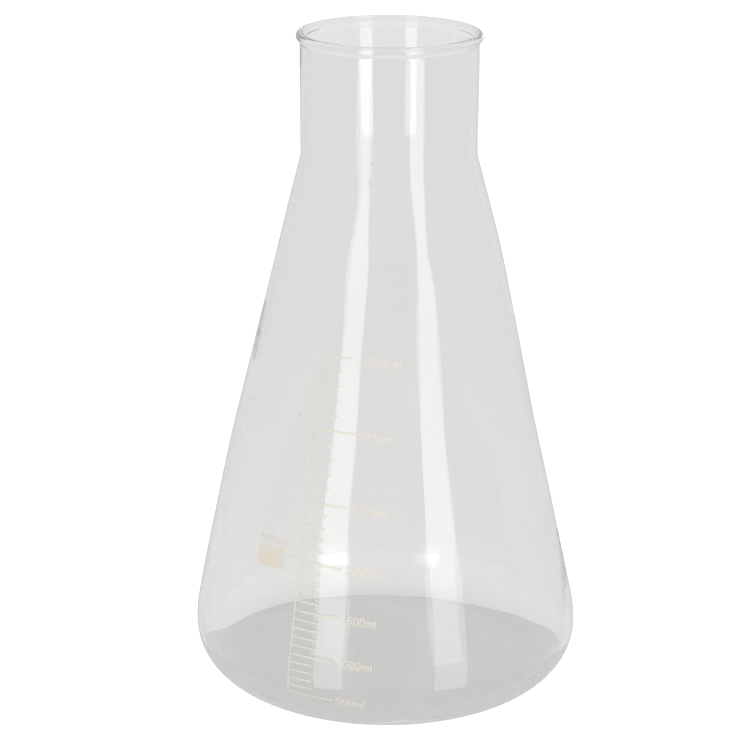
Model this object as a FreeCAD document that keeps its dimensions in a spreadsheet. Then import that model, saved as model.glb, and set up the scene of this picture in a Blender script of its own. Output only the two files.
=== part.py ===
import FreeCAD, Part
import Sketcher
import math
import os

# Erlenmeyer flask of 3 litres: one blown borosilicate body with a beaded rim, and the
# enamel print fired onto its wall. The axis is Z and the foot stands on Z = 0. The front
# faces -Y, and azimuths are measured from there in degrees, positive towards +X.

SIZES = {
    # outline of the glass
    "body_radius": 95.0,
    "base_corner": 23.5,
    "belly_level": 24.3,
    "belly_blend": 54.0,
    "cone_radius": 5000.0,
    "shoulder_level": 264.0,
    "shoulder_blend": 12.0,
    "neck_radius": 42.2,
    "total_height": 321.0,
    # thickness of the glass
    "wall": 2.8,
    "floor_thickness": 3.6,
    # rim and foot
    "rim_height": 12.0,
    "bead_radius": 2.3,
    "bead_blend": 3.0,
    "foot_ring_radius": 66.0,
    "push_up": 3.0,
    # enamel film, and the depth of the blanks that cut the print out of it
    "print_thickness": 0.12,
    "print_azimuth": -29.2,
    "blank_depth": 8.0,
    "film_band": 24.0,
    # scale: a spine with lines to its right, which lengthen a little towards the foot
    "line_width": 0.7,
    "line_gap": 0.05,
    "long_line": 20.2,
    "worn_line": 15.8,
    "short_line": 11.0,
    "line_spread": 0.0009,
    # numerals, centred on their line and to its right
    "numeral_height": 4.1,
    "digit_width": 2.5,
    "digit_pitch": 3.05,
    "unit_width": 3.4,
    "stroke_width": 0.55,
    "numeral_gap": 1.8,
    # marking panel to the left of the scale, with the capacity over it
    "panel_width": 15.8,
    "panel_height": 9.6,
    "panel_corner": 0.8,
    "panel_across": -16.8,
    "panel_level": 82.3,
    "capacity_lift": 8.4,
    # heights of the 500 ml lines on the spine
    "mark_500": 21.0,
    "mark_1000": 39.8,
    "mark_1500": 60.4,
    "mark_2000": 83.7,
    "mark_2500": 111.9,
    "mark_3000": 145.8,
    "mark_3500": 179.7,
}
CAPACITIES = range(500, 3501, 500)
NOMINAL_CAPACITY = 3000
STEPS_PER_MARK = 5

doc = FreeCAD.newDocument("erlenmeyer_flask")


def make_sheet():
    """Spreadsheet of the driving dimensions, in millimetres and degrees."""
    sheet = doc.addObject("Spreadsheet::Sheet", "sizes")
    for row, (alias, value) in enumerate(SIZES.items(), start=1):
        sheet.set(f"A{row}", alias)
        sheet.set(f"B{row}", str(value))
        sheet.setAlias(f"B{row}", alias)
    doc.recompute()
    return sheet


sheet = make_sheet()


def size(alias):
    return float(sheet.get(alias))


# --- Solid forms of the flask's outline -------------------------------------------------

ORIGIN = (-1, 1)
UPRIGHT_AXIS = -2
START, END, CENTRE = 1, 2, 3


def origin_plane(body, role):
    return next(item for item in body.Origin.OriginFeatures if item.Role == role)


def section_sketch(body):
    """Empty sketch in the body's XZ plane, where sketch Y is height."""
    sketch = body.newObject("Sketcher::SketchObject", body.Name + "_section")
    sketch.AttachmentSupport = (origin_plane(body, "XZ_Plane"), "")
    sketch.MapMode = "FlatFace"
    return sketch


def drive(sketch, name, kind, where, value, expression):
    """Add a named dimension to the sketch and bind it to the sheet."""
    index = sketch.addConstraint(Sketcher.Constraint(kind, *where, value))
    sketch.renameConstraint(index, name)
    sketch.setExpression(f"Constraints.{name}", expression)


def drive_point(sketch, name, kind, edge, position, expression):
    """Bind how far out or how high a point of the sketch lies."""
    point = sketch.getPoint(edge, position)
    value = point.x if kind == "DistanceX" else point.y
    drive(sketch, name, kind, (*ORIGIN, edge, position), value, expression)


def turn_section(body, sketch):
    """Turn the section once round the axis."""
    turned = body.newObject("PartDesign::Revolution", body.Name + "_turned")
    turned.Profile = sketch
    turned.ReferenceAxis = (sketch, ["V_Axis"])
    turned.Angle = 360
    doc.recompute()
    return body


def rough_corners():
    """Corners of the half-section before its rounding, from the axis round to the axis."""
    body_radius = size("body_radius")
    neck_radius = size("neck_radius")
    rise = size("shoulder_level") - size("belly_level")
    half_lean = math.atan2(body_radius - neck_radius, rise) / 2
    belly = size("belly_level") + size("belly_blend") * math.tan(half_lean)
    shoulder = size("shoulder_level") - size("shoulder_blend") * math.tan(half_lean)
    neck_top = size("total_height") - size("rim_height")
    corners = [(0, 0), (body_radius, 0), (body_radius, belly)]
    corners += [(neck_radius, shoulder), (neck_radius, neck_top), (0, neck_top)]
    return [FreeCAD.Vector(radius, height, 0) for radius, height in corners]


def blown_form(name, grow="0", foot="0", mouth="sizes.total_height - sizes.rim_height"):
    """Solid of revolution with the flask's outline, offset outwards by grow.

    The arcs keep their centres whatever the offset, so the forms are parallel. The
    cone is a very large arc, because blown glass crowns a little.
    """
    body = doc.addObject("PartDesign::Body", name)
    sketch = section_sketch(body)
    corners = rough_corners()
    floor_line, side, cone, neck, mouth_line, axis = range(len(corners))
    chord = corners[3] - corners[2]
    outward = FreeCAD.Vector(chord.y, -chord.x, 0).normalize()
    crest = (corners[2] + corners[3]) * 0.5 + outward * (chord.Length ** 2 / 8 / size("cone_radius"))
    for edge, start in enumerate(corners):
        end = corners[(edge + 1) % len(corners)]
        line = Part.Arc(start, crest, end) if edge == cone else Part.LineSegment(start, end)
        sketch.addGeometry(line)
        if edge > 0:
            sketch.addConstraint(Sketcher.Constraint("Coincident", edge - 1, END, edge, START))
    sketch.addConstraint(Sketcher.Constraint("Coincident", axis, END, floor_line, START))
    for edge, kind in ((floor_line, "Horizontal"), (mouth_line, "Horizontal"), (side, "Vertical")):
        sketch.addConstraint(Sketcher.Constraint(kind, edge))
    for edge in (neck, axis):
        sketch.addConstraint(Sketcher.Constraint("Vertical", edge))
    sketch.addConstraint(Sketcher.Constraint("PointOnObject", floor_line, START, UPRIGHT_AXIS))
    rounded = []
    for edge, alias in ((floor_line, "base_corner"), (side, "belly_blend"), (cone, "shoulder_blend")):
        corner = corners[edge + 1]
        before = corner + (corners[edge] - corner).normalize()
        after = corner + (corners[(edge + 2) % len(corners)] - corner).normalize()
        sketch.fillet(edge, edge + 1, before, after, size(alias), True, False)
        rounded.append(sketch.GeometryCount - 1)
    base_arc, belly_arc, shoulder_arc = rounded
    drive_point(sketch, "foot_level", "DistanceY", floor_line, START, foot)
    drive_point(sketch, "mouth_level", "DistanceY", neck, END, mouth)
    drive_point(sketch, "side_radius", "DistanceX", side, END, f"sizes.body_radius + {grow}")
    drive_point(sketch, "neck_radius", "DistanceX", neck, END, f"sizes.neck_radius + {grow}")
    drive_point(sketch, "base_level", "DistanceY", base_arc, CENTRE, "sizes.base_corner")
    drive_point(sketch, "belly_level", "DistanceY", belly_arc, CENTRE, "sizes.belly_level")
    drive_point(sketch, "shoulder_level", "DistanceY", shoulder_arc, CENTRE, "sizes.shoulder_level")
    for name, edge, expression in (
        ("belly_blend", belly_arc, f"sizes.belly_blend + {grow}"),
        ("cone_radius", cone, f"sizes.cone_radius + {grow}"),
        ("shoulder_blend", shoulder_arc, f"sizes.shoulder_blend - ({grow})"),
    ):
        drive(sketch, name, "Radius", (edge,), sketch.Geometry[edge].Radius, expression)
    doc.recompute()
    return turn_section(body, sketch)


# --- Flask ------------------------------------------------------------------------------

def boolean(kind, name, base, tool):
    result = doc.addObject(kind, name)
    result.Base = base
    result.Tool = tool
    doc.recompute()
    return result


def push_up_ball(name, top):
    """Large ball whose cap raises the middle of the foot; top is its highest level."""
    ball = doc.addObject("Part::Sphere", name)
    ball_radius = "(sizes.foot_ring_radius ^ 2 + sizes.push_up ^ 2) / (2 * sizes.push_up)"
    ball.setExpression("Radius", ball_radius)
    ball.setExpression("Placement.Base.z", f"{top} - {ball_radius}")
    return ball


def make_rim():
    """Top of the neck: straight bore, round bead, and a hollow blend down to the neck."""
    body = doc.addObject("PartDesign::Body", "rim")
    sketch = section_sketch(body)
    bore_radius = size("neck_radius") - size("wall")
    neck_radius = size("neck_radius")
    bead_radius = size("bead_radius")
    blend = size("bead_blend")
    bead_level = size("total_height") - bead_radius
    start_level = size("total_height") - size("rim_height")
    bead_centre = FreeCAD.Vector(bore_radius + bead_radius, bead_level, 0)
    reach = neck_radius + blend - bead_centre.x
    lean = math.acos(reach / (bead_radius + blend))
    blend_centre = bead_centre + FreeCAD.Vector(reach, -(bead_radius + blend) * math.sin(lean), 0)
    up = FreeCAD.Vector(0, 0, 1)
    bore_foot = FreeCAD.Vector(bore_radius, start_level, 0)
    bore_line = sketch.addGeometry(
        Part.LineSegment(bore_foot, FreeCAD.Vector(bore_radius, bead_level, 0))
    )
    bead = sketch.addGeometry(Part.ArcOfCircle(Part.Circle(bead_centre, up, bead_radius), -lean, math.pi))
    hollow = sketch.addGeometry(
        Part.ArcOfCircle(Part.Circle(blend_centre, up, blend), math.pi - lean, math.pi)
    )
    outer_foot = FreeCAD.Vector(neck_radius, start_level, 0)
    outer_line = sketch.addGeometry(
        Part.LineSegment(FreeCAD.Vector(neck_radius, blend_centre.y, 0), outer_foot)
    )
    foot_line = sketch.addGeometry(Part.LineSegment(outer_foot, bore_foot))
    smooth_joints = (
        (bore_line, END, bead, END),
        (bead, START, hollow, START),
        (hollow, END, outer_line, START),
    )
    for joint in smooth_joints:
        sketch.addConstraint(Sketcher.Constraint("Tangent", *joint))
    for joint in ((outer_line, END, foot_line, START), (foot_line, END, bore_line, START)):
        sketch.addConstraint(Sketcher.Constraint("Coincident", *joint))
    for edge, kind in ((bore_line, "Vertical"), (outer_line, "Vertical"), (foot_line, "Horizontal")):
        sketch.addConstraint(Sketcher.Constraint(kind, edge))
    drive_point(sketch, "bore_radius", "DistanceX", bore_line, START, "sizes.neck_radius - sizes.wall")
    drive_point(sketch, "neck_radius", "DistanceX", outer_line, END, "sizes.neck_radius")
    rim_start = "sizes.total_height - sizes.rim_height"
    drive_point(sketch, "start_level", "DistanceY", outer_line, END, rim_start)
    bead_height = "sizes.total_height - sizes.bead_radius"
    drive_point(sketch, "bead_level", "DistanceY", bead, CENTRE, bead_height)
    drive(sketch, "bead_radius", "Radius", (bead,), bead_radius, "sizes.bead_radius")
    drive(sketch, "bead_blend", "Radius", (hollow,), blend, "sizes.bead_blend")
    doc.recompute()
    return turn_section(body, sketch)


def make_flask(glass_form):
    """Blown body: hollow form with a pushed-up foot and a fire-polished rim."""
    cavity_form = blown_form("cavity_form", "-sizes.wall", "sizes.floor_thickness", "sizes.total_height")
    raised_floor = push_up_ball("raised_floor", "sizes.floor_thickness + sizes.push_up")
    cavity = boolean("Part::Cut", "cavity", cavity_form, raised_floor)
    shell = boolean("Part::Cut", "shell", glass_form, cavity)
    underside = push_up_ball("underside", "sizes.push_up")
    footed = boolean("Part::Cut", "footed_shell", shell, underside)
    flask = boolean("Part::Fuse", "flask", footed, make_rim())
    flask.Refine = True
    doc.recompute()
    return flask


# --- Enamel print -----------------------------------------------------------------------

def glass_at(height):
    """Radius of the outside of the glass at a height, and how far its wall leans in."""
    for edge in doc.getObject("glass_form_section").Shape.Edges:
        box = edge.BoundBox
        if isinstance(edge.Curve, Part.Circle) and box.ZMin < height < box.ZMax:
            rise = height - edge.Curve.Center.z
            radius = edge.Curve.Radius
            return edge.Curve.Center.x + math.sqrt(radius ** 2 - rise ** 2), math.asin(rise / radius)
    return size("body_radius"), 0.0


def place_on_glass(across, height):
    """Placement of a point of the print, with X along its lines and Z out of the glass.

    The print is flat artwork wrapped round the cone, so a point across from the spine
    lies lower, and its lines are turned, by what the unrolled cone gives.
    """
    lean_of_cone = glass_at((size("belly_level") + size("shoulder_level")) / 2)[1]
    slant = glass_at(height)[0] / math.sin(lean_of_cone)
    turn = math.atan2(across, slant)
    height -= (math.hypot(across, slant) - slant) * math.cos(lean_of_cone)
    azimuth = math.radians(size("print_azimuth")) + turn / math.sin(lean_of_cone)
    radius, lean = glass_at(height)
    spot = FreeCAD.Vector(radius * math.sin(azimuth), -radius * math.cos(azimuth), height)
    round_axis = FreeCAD.Rotation(FreeCAD.Vector(0, 0, 1), math.degrees(azimuth))
    tilt = FreeCAD.Rotation(FreeCAD.Vector(1, 0, 0), 90 - math.degrees(lean))
    skew = FreeCAD.Rotation(FreeCAD.Vector(0, 0, 1), -math.degrees(turn))
    return FreeCAD.Placement(spot, round_axis * tilt * skew)


def film_at(height):
    """Band of enamel film on the glass, true within a few microns round one height."""
    thickness = size("print_thickness")
    up = FreeCAD.Vector(0, 0, 1)
    if height < size("base_corner"):
        centre = FreeCAD.Vector(0, 0, size("base_corner"))
        ring = size("body_radius") - size("base_corner")
        inside = Part.makeTorus(ring, size("base_corner"), centre, up)
        return Part.makeTorus(ring, size("base_corner") + thickness, centre, up).cut(inside)
    radius, lean = glass_at(height)
    half_band = size("film_band") / 2
    foot = FreeCAD.Vector(0, 0, height - half_band)
    flare = half_band * math.tan(lean)
    proud = radius + thickness / math.cos(lean)
    if flare < 1e-6:
        outside = Part.makeCylinder(proud, 2 * half_band, foot, up)
        return outside.cut(Part.makeCylinder(radius, 2 * half_band, foot, up))
    outside = Part.makeCone(proud + flare, proud - flare, 2 * half_band, foot, up)
    return outside.cut(Part.makeCone(radius + flare, radius - flare, 2 * half_band, foot, up))


def fire_on(name, blanks):
    """Sub-part of the print: a solid of film for each blank, given with its height."""
    fired = [film_at(height).common(blank).Solids for height, blank in blanks]
    if any(len(solids) != 1 for solids in fired):
        raise RuntimeError(f"{name} has a mark that is not one solid")
    print_piece = doc.addObject("Part::Feature", name)
    print_piece.Shape = Part.Compound([solids[0] for solids in fired])
    return print_piece


def flat_blank(length, width, across, height, corner=0.0):
    """Box, centred on its place on the glass, that cuts a rectangle out of the film."""
    depth = size("blank_depth")
    blank = Part.makeBox(length, width, depth, FreeCAD.Vector(-length / 2, -width / 2, -depth / 2))
    if corner:
        uprights = [edge for edge in blank.Edges if abs(edge.tangentAt(0).z) > 0.5]
        blank = blank.makeFillet(corner, uprights)
    blank.Placement = place_on_glass(across, height)
    return blank


def line_end(length, height):
    """Distance from the spine to the right end of a line at this height."""
    return length * (1 + size("line_spread") * (size("mark_3000") - height))


def scale_line(length, height):
    """Height and blank of one line, which starts just beside the spine."""
    start = size("line_width") / 2 + size("line_gap")
    end = line_end(length, height)
    return height, flat_blank(end - start, size("line_width"), (start + end) / 2, height)


def make_spine(glass_form):
    """Upright line on the glass that carries all the lines of the scale."""
    print_form = blown_form("print_form", "sizes.print_thickness", "-sizes.print_thickness")
    film = boolean("Part::Cut", "enamel_film", print_form, glass_form)
    slab = doc.addObject("Part::Box", "spine_blank")
    slab.setExpression("Length", "sizes.line_width")
    slab.setExpression("Width", "sizes.body_radius - sizes.neck_radius")
    slab.setExpression("Height", "sizes.mark_3500 - sizes.mark_500 + sizes.line_width")
    half_line = size("line_width") / 2
    clear_of_glass = size("body_radius") + 1
    corner = FreeCAD.Vector(-half_line, -clear_of_glass, size("mark_500") - half_line)
    round_axis = FreeCAD.Rotation(FreeCAD.Vector(0, 0, 1), size("print_azimuth"))
    slab.Placement = FreeCAD.Placement(round_axis.multVec(corner), round_axis)
    return boolean("Part::Common", "scale_spine", film, slab)


def make_long_lines():
    """One long line for every 500 ml; the top one is worn short."""
    lines = []
    for capacity in CAPACITIES:
        length = size("worn_line") if capacity == CAPACITIES[-1] else size("long_line")
        lines.append(scale_line(length, size(f"mark_{capacity}")))
    return fire_on("scale_lines_500ml", lines)


def make_short_lines():
    """Four short lines, 100 ml apart, between each pair of long ones."""
    lines = []
    for lower, upper in zip(CAPACITIES, CAPACITIES[1:]):
        start = size(f"mark_{lower}")
        step = (size(f"mark_{upper}") - start) / STEPS_PER_MARK
        for count in range(1, STEPS_PER_MARK):
            lines.append(scale_line(size("short_line"), start + count * step))
    return fire_on("scale_lines_100ml", lines)


def pen_bar(start, end):
    """Straight pen stroke with round ends."""
    tail = FreeCAD.Vector(*start, 0)
    head = FreeCAD.Vector(*end, 0)
    along = (head - tail).normalize() * (size("stroke_width") / 2)
    side = FreeCAD.Vector(-along.y, along.x, 0)
    outline = [
        Part.makeLine(tail - side, head - side),
        Part.Arc(head - side, head + along, head + side).toShape(),
        Part.makeLine(head + side, tail + side),
        Part.Arc(tail + side, tail - along, tail - side).toShape(),
    ]
    return Part.Face(Part.Wire(outline))


def pen_bend(centre, radius, start, end):
    """Curved pen stroke with round ends, anticlockwise between two angles in degrees."""
    half_pen = size("stroke_width") / 2

    def spot(distance, angle, ahead=0.0):
        turn = FreeCAD.Rotation(FreeCAD.Vector(0, 0, 1), angle)
        return FreeCAD.Vector(*centre, 0) + turn.multVec(FreeCAD.Vector(distance, ahead, 0))

    middle = (start + end) / 2
    inside = radius - half_pen
    outside = radius + half_pen
    outline = [
        Part.Arc(spot(outside, start), spot(outside, middle), spot(outside, end)),
        Part.Arc(spot(outside, end), spot(radius, end, half_pen), spot(inside, end)),
        Part.Arc(spot(inside, end), spot(inside, middle), spot(inside, start)),
        Part.Arc(spot(inside, start), spot(radius, start, -half_pen), spot(outside, start)),
    ]
    return Part.Face(Part.Wire([arc.toShape() for arc in outline]))


def pen_path(*points):
    return [pen_bar(start, end) for start, end in zip(points, points[1:])]


def pen_strokes(character):
    """Strokes of a character, drawn with its lower left corner at the origin."""
    pen = size("stroke_width")
    wide = size("digit_width") - pen
    tall = size("numeral_height") - pen
    half = wide / 2
    if character == "0":
        ends = [pen_bend((half, tall - half), half, 0, 180), pen_bend((half, half), half, 180, 360)]
        return ends + [pen_bar((x, half), (x, tall - half)) for x in (0, wide)]
    if character == "1":
        stem = wide * 0.65
        return pen_path((wide * 0.15, tall * 0.78), (stem, tall), (stem, 0))
    if character == "2":
        hook_end = math.radians(-35)
        shoulder = (half + half * math.cos(hook_end), tall - half + half * math.sin(hook_end))
        return [pen_bend((half, tall - half), half, -35, 170)] + pen_path(shoulder, (0, 0), (wide, 0))
    if character == "3":
        lobe = tall / 4
        middle = wide - lobe
        lobes = [pen_bend((middle, tall - lobe), lobe, -90, 160), pen_bend((middle, lobe), lobe, -160, 90)]
        return lobes + [pen_bar((middle - lobe * 0.5, tall / 2), (middle, tall / 2))]
    if character == "5":
        bowl = tall * 0.3
        edge = wide * 0.1
        flag = pen_path((wide, tall), (edge, tall), (edge, 2 * bowl), (wide - bowl, 2 * bowl))
        return flag + [pen_bend((wide - bowl, bowl), bowl, -150, 90)]
    if character == "m":
        arch = (size("unit_width") - pen) / 4
        low = tall * 0.66 - arch
        arches = [pen_bend((x, low), arch, 0, 180) for x in (arch, 3 * arch)]
        stems = [pen_bar((x, 0), (x, low)) for x in (2 * arch, 4 * arch)]
        return arches + stems + [pen_bar((0, 0), (0, low + arch))]
    return [pen_bar((0, 0), (0, tall))]


def character_blank(character):
    """Upright prism of one character, centred on its width and on a digit's height."""
    outline, *others = pen_strokes(character)
    if others:
        outline = outline.multiFuse(others).removeSplitter()
    depth = size("blank_depth")
    half_height = (size("numeral_height") - size("stroke_width")) / 2
    outline.translate(FreeCAD.Vector(-outline.BoundBox.Center.x, -half_height, -depth / 2))
    return outline.extrude(FreeCAD.Vector(0, 0, depth))


def make_numerals(name, text, start, height):
    """Group of characters, each one a solid, centred on their line on the glass."""
    digit_width = size("digit_width")
    across = start
    blanks = []
    for character in text:
        blank = BLANKS[character].copy()
        room = digit_width if character.isdigit() else blank.BoundBox.XLength
        blank.Placement = place_on_glass(across + room / 2, height)
        blanks.append((height, blank))
        across += room + size("digit_pitch") - digit_width
    return fire_on(name, blanks)


def make_scale_numerals():
    """Capacities beside the long lines, in a column that follows the lines' ends."""
    groups = []
    for capacity in CAPACITIES:
        height = size(f"mark_{capacity}")
        start = line_end(size("long_line"), height) + size("numeral_gap")
        groups.append(make_numerals(f"numerals_{capacity}ml", f"{capacity}ml", start, height))
    return groups


def make_panel():
    """Matt rectangle with rounded corners for writing on."""
    height = size("panel_level")
    width = size("panel_width")
    blank = flat_blank(width, size("panel_height"), size("panel_across"), height, size("panel_corner"))
    return fire_on("marking_panel", [(height, blank)])


def make_capacity():
    """Nominal capacity over the marking panel, in the same type as the scale."""
    start = size("panel_across") - size("panel_width") / 2
    height = size("panel_level") + size("capacity_lift")
    return make_numerals("capacity_numerals", f"{NOMINAL_CAPACITY}ml", start, height)


# --- Assembly ---------------------------------------------------------------------------

BLANKS = {character: character_blank(character) for character in "01235ml"}

glass_form = blown_form("glass_form")
sub_parts = [make_flask(glass_form), make_spine(glass_form), make_long_lines(), make_short_lines()]
sub_parts += make_scale_numerals()
sub_parts += [make_capacity(), make_panel()]
doc.recompute()

failed = [item.Name for item in doc.Objects if {"Invalid", "Error"} & set(item.State)]
failed += [item.Name for item in sub_parts if item.Shape.isNull() or not item.Shape.isValid()]
if failed:
    raise RuntimeError(f"these objects did not come out whole: {failed}")

os.makedirs("parts", exist_ok=True)
for item in sub_parts:
    item.Shape.exportStep(f"parts/{item.Label}.step")
    print(f"{item.Label}: {len(item.Shape.Solids)} solids, {item.Shape.Volume:.2f} mm3")
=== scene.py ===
import math

import bmesh
import bpy
from mathutils import Matrix, Vector, noise


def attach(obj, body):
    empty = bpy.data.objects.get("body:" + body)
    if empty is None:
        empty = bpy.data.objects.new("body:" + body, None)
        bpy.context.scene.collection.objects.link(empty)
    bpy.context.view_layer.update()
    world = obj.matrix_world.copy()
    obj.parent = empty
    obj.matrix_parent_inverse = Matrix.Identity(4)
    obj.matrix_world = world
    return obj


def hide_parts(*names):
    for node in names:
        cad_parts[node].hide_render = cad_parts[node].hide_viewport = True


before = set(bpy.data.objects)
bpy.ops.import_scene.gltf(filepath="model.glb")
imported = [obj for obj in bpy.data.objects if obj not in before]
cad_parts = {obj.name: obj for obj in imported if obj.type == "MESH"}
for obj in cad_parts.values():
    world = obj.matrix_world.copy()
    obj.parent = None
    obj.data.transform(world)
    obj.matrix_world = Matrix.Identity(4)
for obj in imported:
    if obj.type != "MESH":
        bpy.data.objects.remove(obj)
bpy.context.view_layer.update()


# The body: one piece of borosilicate glass, blown into a mould while it is turned, with its
# mouth melted back to a bead. Both skins keep the slow waves of the blowing, and the wall holds
# a few seeds, which are small bubbles drawn out with the glass.

MM = 0.001


def linear(hex_colour):
    """The linear colour of an sRGB hex value, with an alpha of 1."""
    parts = [int(hex_colour[i : i + 2], 16) / 255 for i in (1, 3, 5)]
    return tuple(p / 12.92 if p <= 0.04045 else ((p + 0.055) / 1.055) ** 2.4 for p in parts) + (1,)


def add_node(tree, kind, settings=None, inputs=None):
    """A new node in the tree. An input is a value, or the (node, output) that it is linked from."""
    node = tree.nodes.new(kind)
    for name, value in (settings or {}).items():
        setattr(node, name, value)
    for name, value in (inputs or {}).items():
        if isinstance(value, tuple) and isinstance(value[0], bpy.types.Node):
            tree.links.new(value[0].outputs[value[1]], node.inputs[name])
        else:
            node.inputs[name].default_value = value
    return node


def start_material(name):
    """A new material with an empty node tree."""
    material = bpy.data.materials.new(name)
    material.use_nodes = True
    material.node_tree.nodes.clear()
    return material


def shown_piece(name, mesh, material):
    """An object at the origin that carries the mesh in one smooth material and rides the glass."""
    mesh.materials.clear()
    mesh.materials.append(material)
    piece = bpy.data.objects.new(name, mesh)
    bpy.context.scene.collection.objects.link(piece)
    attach(piece, "root")
    return piece


# Bumps and dents of the whole wall by the shoulder: azimuth in degrees, height, spread round
# the glass, spread along its height and stand, in mm.
SHOULDER_BUMPS = (
    (-12, 247, 5.5, 10, 0.40),
    (-14, 220, 8, 14, -0.37),
    (16.5, 230, 3.5, 14, 0.30),
)


# The cone and the neck stand a little off the axis, towards +X where the shift is above 0:
# height, spread along the height and shift, in mm.
LEANS = ((112, 27, -0.75), (226, 37, 0.95), (312, 24, 0.45))

# The waves of the blowing are gentle, a few fingers wide, and die out towards the foot.
WAVE_STAND = 0.6 * MM
WAVE_WIDTH = 52 * MM
WAVE_START = 4 * MM
WAVE_RISE = 26 * MM
OUTER_SKIN = 0
INNER_SKIN = 7


def skin_wave(point, skin):
    """How far the outer or inner skin stands off its true form at the point, in metres."""
    height = min(1, max(0, (point.z - WAVE_START) / WAVE_RISE))
    stand = WAVE_STAND * height * noise.noise(point / WAVE_WIDTH + Vector((skin, 1.7, 0.4)))
    azimuth = math.atan2(point.x, -point.y)
    for level, along, shift in LEANS:
        rise = (point.z / MM - level) / along
        stand += shift * MM * math.exp(-rise * rise / 2) * math.sin(azimuth)
    radius = math.hypot(point.x, point.y)
    for turn, level, across, along, bump in SHOULDER_BUMPS:
        off = radius * (azimuth - math.radians(turn)) / (across * MM)
        rise = (point.z / MM - level) / along
        stand += bump * MM * math.exp(-(off * off + rise * rise) / 2)
    return stand


def follow_skin(point, skin):
    """Moves the point outwards, away from the axis, with the wave of the skin that it lies on."""
    radius = math.hypot(point.x, point.y)
    if radius > 1 * MM:
        stretch = 1 + skin_wave(point, skin) / radius
        point.x *= stretch
        point.y *= stretch


def draw_arc(bm, centre, degrees, steps):
    """Carries the last vertex round the centre (radius, height) and returns the new last one."""
    bm.verts.ensure_lookup_table()
    bmesh.ops.spin(
        bm,
        geom=[bm.verts[-1]],
        cent=Vector((centre[0], 0, centre[1])) * MM,
        axis=(0, -1, 0),
        angle=math.radians(degrees),
        steps=steps,
    )


def draw_line(bm, radius, height, steps=1):
    """Carries the last vertex straight to the radius and height."""
    for step in range(steps):
        bm.verts.ensure_lookup_table()
        last = bm.verts[-1]
        way = (Vector((radius, 0, height)) * MM - last.co) / (steps - step)
        new = bmesh.ops.extrude_vert_indiv(bm, verts=[last])["verts"]
        bmesh.ops.translate(bm, verts=new, vec=way)


# The true form in mm, as centre and radius where it is an arc: the foot's corner, the hip over
# it, the cone, which bellies very slightly, the shoulder, the neck and the bead on its mouth.
FOOT_CENTRE = (71.5, 23.5)
FOOT_RADIUS = 23.5
HIP_CENTRE = (41, 24.3)
HIP_RADIUS = 54
HIP_TOP = 35.04
CONE_CENTRE = (-4806.2, -959.5)
CONE_RADIUS = 5000
SHOULDER_CENTRE = (54.2, 264)
NECK_RADIUS = 42.2
BORE_RADIUS = 39.4
NECK_TOP = 314.72
BEAD_CENTRE = (41.7, 318.7)


def cone_radius(height):
    """The radius of the outer skin's true form at a height, in metres, from foot to shoulder."""
    level = height / MM
    if level < HIP_CENTRE[1]:
        return (FOOT_CENTRE[0] + math.sqrt(FOOT_RADIUS**2 - (level - FOOT_CENTRE[1]) ** 2)) * MM
    if level < HIP_TOP:
        return (HIP_CENTRE[0] + math.sqrt(HIP_RADIUS**2 - (level - HIP_CENTRE[1]) ** 2)) * MM
    return (math.sqrt(CONE_RADIUS**2 - (level - CONE_CENTRE[1]) ** 2) + CONE_CENTRE[0]) * MM


# The bottom is pushed up into a shallow cap, 3 mm high in its middle, and is 3.6 mm thick.
# The angles are in degrees.
CAP_RADIUS = 727.5
CAP_ANGLE = math.degrees(math.asin(66 / CAP_RADIUS))
LEAN_LOW = 11.474
LEAN_HIGH = 14.129
BEAD_TURN = 48.69

glass_section = bmesh.new()
skins = glass_section.verts.layers.int.new("skin")
bmesh.ops.create_vert(glass_section, co=Vector((0, 0, 3)) * MM)
draw_arc(glass_section, (0, 3 - CAP_RADIUS), -CAP_ANGLE, 8)
draw_line(glass_section, 71.5, 0, 2)
draw_arc(glass_section, FOOT_CENTRE, 90, 14)
draw_line(glass_section, 95, HIP_CENTRE[1])
draw_arc(glass_section, HIP_CENTRE, LEAN_LOW, 4)
draw_arc(glass_section, CONE_CENTRE, LEAN_HIGH - LEAN_LOW, 48)
draw_arc(glass_section, SHOULDER_CENTRE, -LEAN_HIGH, 5)
draw_line(glass_section, NECK_RADIUS, NECK_TOP, 12)
draw_arc(glass_section, (45.2, NECK_TOP), -BEAD_TURN, 5)
draw_arc(glass_section, BEAD_CENTRE, 180 + BEAD_TURN, 20)
draw_line(glass_section, BORE_RADIUS, SHOULDER_CENTRE[1], 12)
draw_arc(glass_section, SHOULDER_CENTRE, LEAN_HIGH, 5)
draw_arc(glass_section, CONE_CENTRE, LEAN_LOW - LEAN_HIGH, 48)
draw_arc(glass_section, HIP_CENTRE, -LEAN_LOW, 4)
draw_line(glass_section, 92.2, FOOT_CENTRE[1])
draw_arc(glass_section, (72.3, 23.5), -90, 14)
draw_line(glass_section, 66, 3.6, 2)
draw_arc(glass_section, (0, 6.6 - CAP_RADIUS), CAP_ANGLE, 8)

# The inner skin starts where the bead's tube turns down into the bore.
section_points = list(glass_section.verts)
inner_start = max(range(len(section_points)), key=lambda i: section_points[i].co.z)
for place, vertex in enumerate(section_points):
    vertex[skins] = INNER_SKIN if place > inner_start else OUTER_SKIN
bmesh.ops.spin(
    glass_section,
    geom=list(glass_section.verts) + list(glass_section.edges),
    cent=(0, 0, 0),
    axis=(0, 0, 1),
    angle=math.tau,
    steps=256,
    use_merge=True,
)
bmesh.ops.remove_doubles(glass_section, verts=glass_section.verts, dist=0.01 * MM)
bmesh.ops.recalc_face_normals(glass_section, faces=glass_section.faces)

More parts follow.
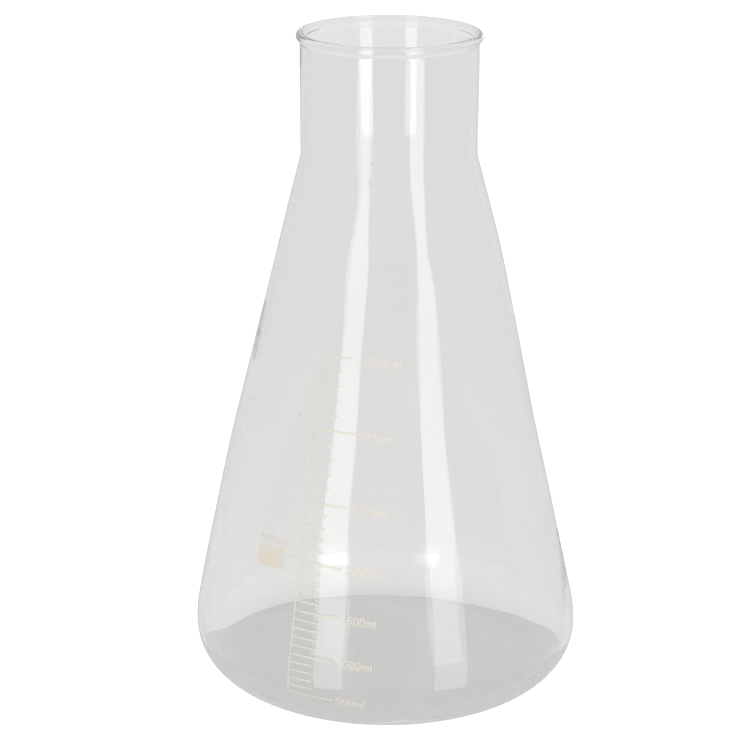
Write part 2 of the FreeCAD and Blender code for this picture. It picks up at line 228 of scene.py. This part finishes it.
# The glass of the bottom pooled unevenly as it set, which shows on its upper side.
POOL_TOP = 22 * MM
POOL_STAND = 1.1 * MM
POOL_WIDTH = 24 * MM
for vertex in glass_section.verts:
    follow_skin(vertex.co, vertex[skins])
    if vertex[skins] and vertex.co.z < POOL_TOP:
        pool = 1 - vertex.co.z / POOL_TOP
        ripple = noise.noise(vertex.co / POOL_WIDTH + Vector((3.1, 0, 5.2)))
        vertex.co.z += POOL_STAND * pool * ripple

# Each seed lies in the middle of the wall and is a void, so its faces point into it: azimuth in
# degrees, height, width and length in mm, and turn from upright in degrees.
WALL_MIDDLE = 1.4
SEEDS = (
    (-37.1, 148.7, 0.5, 2.6, -8),
    (-36.3, 150.0, 0.35, 1.6, 20),
    (-68.3, 148.0, 0.5, 2.2, -12),
    (-10.9, 267.3, 0.5, 1.1, 10),
    (61.4, 278.0, 0.4, 1.6, 35),
)
for turn, level, wide, long, tilt in SEEDS:
    seed = bmesh.ops.create_icosphere(glass_section, subdivisions=2, radius=0.5 * MM)["verts"]
    bmesh.ops.scale(glass_section, verts=seed, vec=(wide, 0.8, long))
    bmesh.ops.rotate(
        glass_section, verts=seed, matrix=Matrix.Rotation(math.radians(tilt), 3, "Y")
    )
    skin_radius = max(cone_radius(level * MM), NECK_RADIUS * MM)
    middle = Vector((0, -skin_radius + WALL_MIDDLE * MM, level * MM))
    turned = Matrix.Rotation(math.radians(turn), 4, "Z")
    middle = turned @ middle
    follow_skin(middle, OUTER_SKIN)
    bmesh.ops.transform(glass_section, verts=seed, matrix=Matrix.Translation(middle) @ turned)
    faces = {face for vertex in seed for face in vertex.link_faces}
    bmesh.ops.reverse_faces(glass_section, faces=list(faces))
for face in glass_section.faces:
    face.smooth = True
body_mesh = bpy.data.meshes.new("blown_body")
glass_section.to_mesh(body_mesh)
glass_section.free()

# Borosilicate 3.3 glass, fire-polished: clear, hardly tinted, and mirror-smooth, so that the
# eye has only the edges and the reflections, which swim a little on its waves.
clear_glass = start_material("borosilicate_glass_fire_polished")
tree = clear_glass.node_tree
place = add_node(tree, "ShaderNodeTexCoord")
ripple = add_node(
    tree,
    "ShaderNodeTexNoise",
    inputs={"Vector": (place, "Object"), "Scale": 1 / (18 * MM), "Detail": 1.0},
)
relief = add_node(
    tree,
    "ShaderNodeBump",
    inputs={"Height": (ripple, "Fac"), "Strength": 0.35, "Distance": 0.1 * MM},
)
glass = add_node(
    tree,
    "ShaderNodeBsdfPrincipled",
    inputs={
        "Base Color": linear("#F8F8F7"),
        "Transmission Weight": 1.0,
        "Roughness": 0.0,
        "IOR": 1.473,
        "Normal": (relief, "Normal"),
    },
)
add_node(tree, "ShaderNodeOutputMaterial", inputs={"Surface": (glass, "BSDF")})

body = shown_piece("blown_body", body_mesh, clear_glass)
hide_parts("flask")
# The glass casts no shadow; the disc of painted shade under it stands in for its shadow on the
# floor.
body.visible_shadow = False


# The graduation: cream vitreous enamel, laid on through a screen and fired into the skin. It
# is one film with an upright line, long and short volume lines, their numerals, a panel to
# write on and the flask's capacity above it.

# Vitreous enamel, printed and fired: an opaque pale cream with a faint mottle, and a satin skin
# that is dull beside the glass. Its grain is drawn coarser than the frit, so that it shows.
fired_enamel = start_material("cream_vitreous_enamel")
tree = fired_enamel.node_tree
place = add_node(tree, "ShaderNodeTexCoord")
mottle = add_node(
    tree,
    "ShaderNodeTexNoise",
    inputs={"Vector": (place, "Object"), "Scale": 1 / (1.2 * MM), "Detail": 2.0},
)
tone = add_node(tree, "ShaderNodeValToRGB", inputs={"Fac": (mottle, "Fac")})
tone.color_ramp.elements[0].position = 0.3
tone.color_ramp.elements[0].color = linear("#E9E1D2")
tone.color_ramp.elements[1].position = 0.7
tone.color_ramp.elements[1].color = linear("#EFE7D9")
grain = add_node(
    tree,
    "ShaderNodeTexNoise",
    inputs={"Vector": (place, "Object"), "Scale": 1 / (0.4 * MM), "Detail": 2.0},
)
satin = add_node(
    tree,
    "ShaderNodeMapRange",
    inputs={"Value": (grain, "Fac"), "To Min": 0.3, "To Max": 0.55},
)
enamel = add_node(
    tree,
    "ShaderNodeBsdfPrincipled",
    inputs={"Base Color": (tone, "Color"), "Roughness": (satin, "Result"), "IOR": 1.5},
)
add_node(tree, "ShaderNodeOutputMaterial", inputs={"Surface": (enamel, "BSDF")})

# The fired film sinks into the skin and stands only a little proud of it. It is cut into short
# steps, so that it lies on the waves.
FILM_STAND = 0.04 * MM
FILM_DEPTH = 0.12 * MM
FILM_STEP = 3 * MM
FILM_EDGE = math.radians(35)
for node_name in sorted(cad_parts):
    if node_name == "flask":
        continue
    film = bmesh.new()
    film.from_mesh(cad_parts[node_name].data)
    bmesh.ops.remove_doubles(film, verts=film.verts, dist=0.001 * MM)
    long_edges = [edge for edge in film.edges if edge.calc_length() > FILM_STEP]
    while long_edges:
        bmesh.ops.subdivide_edges(film, edges=long_edges, cuts=1)
        bmesh.ops.triangulate(film, faces=film.faces)
        long_edges = [edge for edge in film.edges if edge.calc_length() > FILM_STEP]
    for vertex in film.verts:
        skin_radius = cone_radius(vertex.co.z)
        radius = math.hypot(vertex.co.x, vertex.co.y)
        on_top = radius - skin_radius > 0.05 * MM
        stand = FILM_STAND if on_top else FILM_STAND - FILM_DEPTH
        vertex.co.x *= (skin_radius + stand) / radius
        vertex.co.y *= (skin_radius + stand) / radius
        follow_skin(vertex.co, OUTER_SKIN)
    bmesh.ops.recalc_face_normals(film, faces=film.faces)
    for face in film.faces:
        face.smooth = True
    for edge in film.edges:
        edge.smooth = edge.calc_face_angle(0) < FILM_EDGE
    film_mesh = bpy.data.meshes.new("fired_" + node_name)
    film.to_mesh(film_mesh)
    film.free()
    print_piece = shown_piece("fired_" + node_name, film_mesh, fired_enamel)
    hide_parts(node_name)


# The stage: a pale floor with a disc of painted shade under the flask, standing for the flask's
# shadow on the floor, an even grey studio, and two upright strip lights in front, which show in
# the glass as two long bright bands. The camera sees floor, disc and studio as white, but through
# the glass and in reflections they are grey.

FLOOR_REACH = 12
FLOOR_DROP = 0.2 * MM
# The disc of painted shade under the flask: its radius and how far it sits towards the camera.
PAINTED_SHADE_RADIUS = 115 * MM
PAINTED_SHADE_FORWARD = 43.5 * MM

def stage_sheet(name, mesh, albedo, glow, lift):
    """A flat matt sheet that glows a little, and by lift more for the eye, which sees it white."""
    sheet = bpy.data.objects.new(name, mesh)
    bpy.context.scene.collection.objects.link(sheet)
    paper = start_material(name + "_matt_paper")
    tree = paper.node_tree
    matt = add_node(tree, "ShaderNodeBsdfDiffuse", inputs={"Color": (albedo, albedo, albedo, 1)})
    ray = add_node(tree, "ShaderNodeLightPath")
    strength = add_node(
        tree,
        "ShaderNodeMapRange",
        inputs={"Value": (ray, "Is Camera Ray"), "To Min": glow, "To Max": glow + lift},
    )
    light = add_node(
        tree, "ShaderNodeEmission", inputs={"Color": (1, 1, 1, 1), "Strength": (strength, "Result")}
    )
    both = add_node(tree, "ShaderNodeAddShader", inputs={0: (matt, "BSDF"), 1: (light, "Emission")})
    add_node(tree, "ShaderNodeOutputMaterial", inputs={"Surface": (both, "Shader")})
    mesh.materials.append(paper)
    return sheet


floor_sheet = bmesh.new()
bmesh.ops.create_grid(
    floor_sheet,
    x_segments=1,
    y_segments=1,
    size=FLOOR_REACH,
    matrix=Matrix.Translation((0, 0, -FLOOR_DROP)),
)
floor_mesh = bpy.data.meshes.new("floor")
floor_sheet.to_mesh(floor_mesh)
floor_sheet.free()
floor = stage_sheet("floor", floor_mesh, 0.8, 0.38, 0.35)
floor.visible_glossy = False

# Painted shade: a disc under the flask, white to the eye but darker than the floor through the
# glass, for the flask's shadow.
painted_shade_sheet = bmesh.new()
bmesh.ops.create_circle(
    painted_shade_sheet,
    cap_ends=True,
    segments=128,
    radius=PAINTED_SHADE_RADIUS,
    matrix=Matrix.Translation((0, -PAINTED_SHADE_FORWARD, 0)),
)
painted_shade_mesh = bpy.data.meshes.new("painted_shade_disc")
painted_shade_sheet.to_mesh(painted_shade_mesh)
painted_shade_sheet.free()
stage_sheet("painted_shade_disc", painted_shade_mesh, 0.2, 0.52, 0.6)

studio = bpy.data.worlds.new("studio")
studio.use_nodes = True
tree = studio.node_tree
ray = add_node(tree, "ShaderNodeLightPath")
through = add_node(
    tree,
    "ShaderNodeMapRange",
    inputs={"Value": (ray, "Is Transmission Ray"), "To Min": 0.55, "To Max": 0.85},
)
brightness = add_node(
    tree,
    "ShaderNodeMath",
    settings={"operation": "MAXIMUM"},
    inputs={0: (through, "Result"), 1: (ray, "Is Camera Ray")},
)
tree.links.new(brightness.outputs["Value"], tree.nodes["Background"].inputs["Strength"])
tree.nodes["Background"].inputs["Color"].default_value = (1, 1, 1, 1)
bpy.context.scene.world = studio

# Each strip reaches from its inner to its outer foot, and from below the floor to 370 mm.
STRIP_GLOW = 2.3
STRIP_HEIGHT = 0.67
STRIP_MIDDLE = 0.035
for side, inner, outer in (
    ("left", Vector((-190, -458, 0)), Vector((-313, -382, 0))),
    ("right", Vector((212, -446, 0)), Vector((336, -356, 0))),
):
    strip = bpy.data.lights.new("strip_" + side, "AREA")
    strip.shape = "RECTANGLE"
    strip.size = (outer - inner).length * MM
    strip.size_y = STRIP_HEIGHT
    strip.energy = STRIP_GLOW * math.pi * strip.size * strip.size_y
    strip_light = bpy.data.objects.new("strip_" + side, strip)
    away = (inner + outer) / 2
    across = (outer - inner).normalized()
    if side == "left":
        across = -across
    facing = across.cross(Vector((0, 0, 1)))
    strip_light.matrix_world = (
        Matrix.Translation(away * MM + Vector((0, 0, STRIP_MIDDLE)))
        @ Matrix((across, Vector((0, 0, 1)), facing)).transposed().to_4x4()
    )
    strip_light.visible_camera = False
    bpy.context.scene.collection.objects.link(strip_light)

# The camera stands a little over a metre off and looks down on the flask by 18.7 degrees.
CAMERA_PLACE = (-0.00807, -1.08796, 0.52355)
camera_data = bpy.data.cameras.new("camera")
camera_data.sensor_width = 36
camera_data.lens = 114.18
camera_data.shift_y = -0.0042
camera = bpy.data.objects.new("camera", camera_data)
bpy.context.scene.collection.objects.link(camera)
look_down = math.radians(18.70)
roll = math.radians(0.21)
level = Vector((1, 0, 0))
upright = Vector((0, math.sin(look_down), math.cos(look_down)))
backward = Vector((0, -math.cos(look_down), math.sin(look_down)))
turned = (
    level * math.cos(roll) + upright * math.sin(roll),
    upright * math.cos(roll) - level * math.sin(roll),
    backward,
)
camera.matrix_world = Matrix.Translation(CAMERA_PLACE) @ Matrix(turned).transposed().to_4x4()
bpy.context.scene.camera = camera
bpy.context.scene.view_settings.view_transform = "Standard"

# Light that runs along inside the wall bounces very often before it leaves, so the limit is high.
WALL_BOUNCES = 160
bpy.context.scene.cycles.max_bounces = WALL_BOUNCES
bpy.context.scene.cycles.transmission_bounces = WALL_BOUNCES
bpy.context.scene.cycles.glossy_bounces = WALL_BOUNCES
